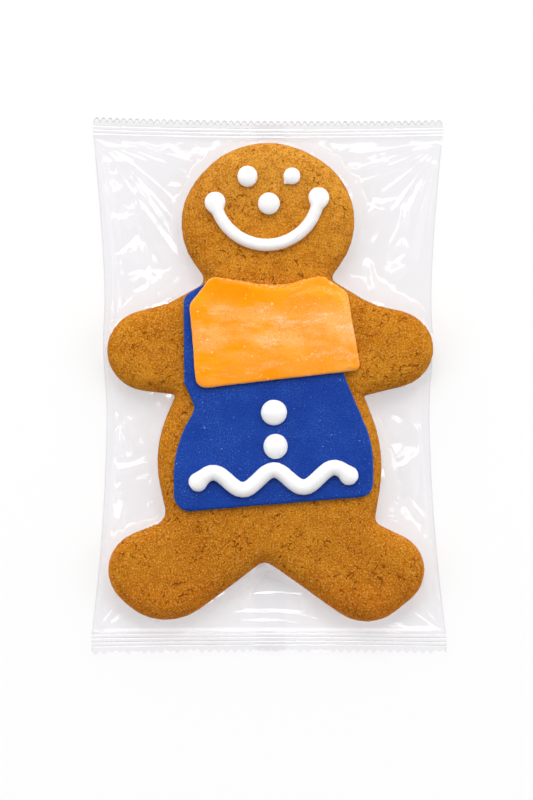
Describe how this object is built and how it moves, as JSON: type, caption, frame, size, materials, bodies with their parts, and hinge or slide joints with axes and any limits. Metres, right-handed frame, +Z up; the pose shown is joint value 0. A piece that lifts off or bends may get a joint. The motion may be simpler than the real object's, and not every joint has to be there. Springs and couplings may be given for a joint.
{
  "type": "gingerbread man biscuit in a clear bag",
  "caption": "Gingerbread man biscuit with rolled icing panels and piped white icing, lying on its back in a clear flow-wrap bag with crimped, pinked ends.",
  "frame": {"origin": "on the surface that the bag lies on, under the middle of the bag", "axes": "+Z up out of the biscuit's face, +Y along the bag towards the head, +X to the viewer's right when looking down at the face"},
  "size_m": [0.1128, 0.1698, 0.0148],
  "materials": {
    "film": "clear glossy film",
    "biscuit": "baked crumb, matte",
    "blue_icing": "rolled icing, satin",
    "orange_icing": "rolled icing, satin",
    "white_icing": "piped icing, semi-gloss"
  },
  "bodies": {
    "root": {"bag": "film", "biscuit": "biscuit", "blue_panel": "blue_icing", "orange_panel": "orange_icing", "eye_left": "white_icing", "eye_right": "white_icing", "nose": "white_icing", "smile": "white_icing", "button_upper": "white_icing", "button_lower": "white_icing", "hem_wave": "white_icing"}
  },
  "joints": []
}
